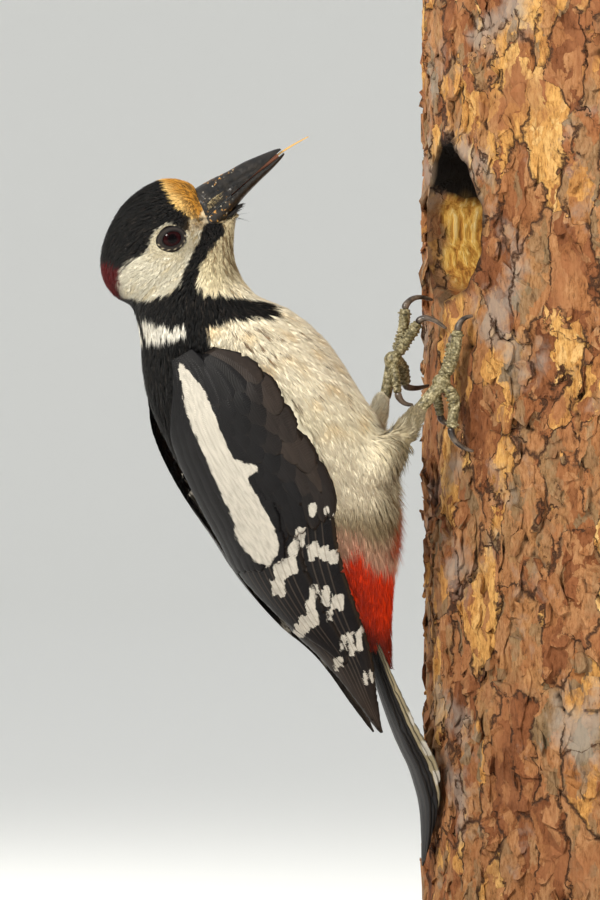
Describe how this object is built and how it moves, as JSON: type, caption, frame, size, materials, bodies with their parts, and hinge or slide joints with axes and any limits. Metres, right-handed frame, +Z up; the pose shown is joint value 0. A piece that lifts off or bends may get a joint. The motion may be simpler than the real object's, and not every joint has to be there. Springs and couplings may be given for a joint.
{
  "type": "great spotted woodpecker model on perch",
  "caption": "Still life-size model of a great spotted woodpecker clinging to a cut length of pine trunk with a nest hole, on a flat display base",
  "frame": {"origin": "middle of the underside of the stand's base, on the surface it rests on", "axes": "+Z up the trunk; +X from the bird towards the trunk; the bird's right side is -Y"},
  "size_m": [0.29, 0.19, 0.314],
  "materials": {
    "black_plumage": "glossy blue-black feathers with white scapular patch and white spots on the flight feathers",
    "cream_plumage": "soft dirty-cream feathers with brown specks",
    "red_plumage": "soft scarlet feathers round the vent",
    "scaly_skin": "olive-grey scaly skin with pale scute edges",
    "claw_horn": "smooth grey-brown horn",
    "bill_horn": "slate-black horn, worn and dusty",
    "tongue": "moist ochre horn-tipped tongue",
    "eye": "dark red-brown glossy eye",
    "pine_bark": "flaky reddish pine bark with sawn ends",
    "stand_wood": "walnut, satin varnish",
    "stand_steel": "brushed steel"
  },
  "bodies": {
    "root": {"head": "black_plumage", "neck": "cream_plumage", "trunk": "cream_plumage", "rump": "red_plumage", "tail": "black_plumage", "wing_left": "black_plumage", "wing_right": "black_plumage", "thigh_left": "cream_plumage", "thigh_right": "cream_plumage", "shank_left": "scaly_skin", "shank_right": "scaly_skin", "toe_left_middle": "scaly_skin", "toe_left_inner": "scaly_skin", "toe_left_outer": "scaly_skin", "toe_left_hallux": "scaly_skin", "toe_right_middle": "scaly_skin", "toe_right_inner": "scaly_skin", "toe_right_outer": "scaly_skin", "toe_right_hallux": "scaly_skin", "claw_left_middle": "claw_horn", "claw_left_inner": "claw_horn", "claw_left_outer": "claw_horn", "claw_left_hallux": "claw_horn", "claw_right_middle": "claw_horn", "claw_right_inner": "claw_horn", "claw_right_outer": "claw_horn", "claw_right_hallux": "claw_horn", "bill_upper": "bill_horn", "bill_lower": "bill_horn", "tongue": "tongue", "eye_left": "eye", "eye_right": "eye", "perch_log": "pine_bark", "stand_base": "stand_wood", "stand_rod_front": "stand_steel", "stand_rod_rear": "stand_steel"}
  },
  "joints": []
}
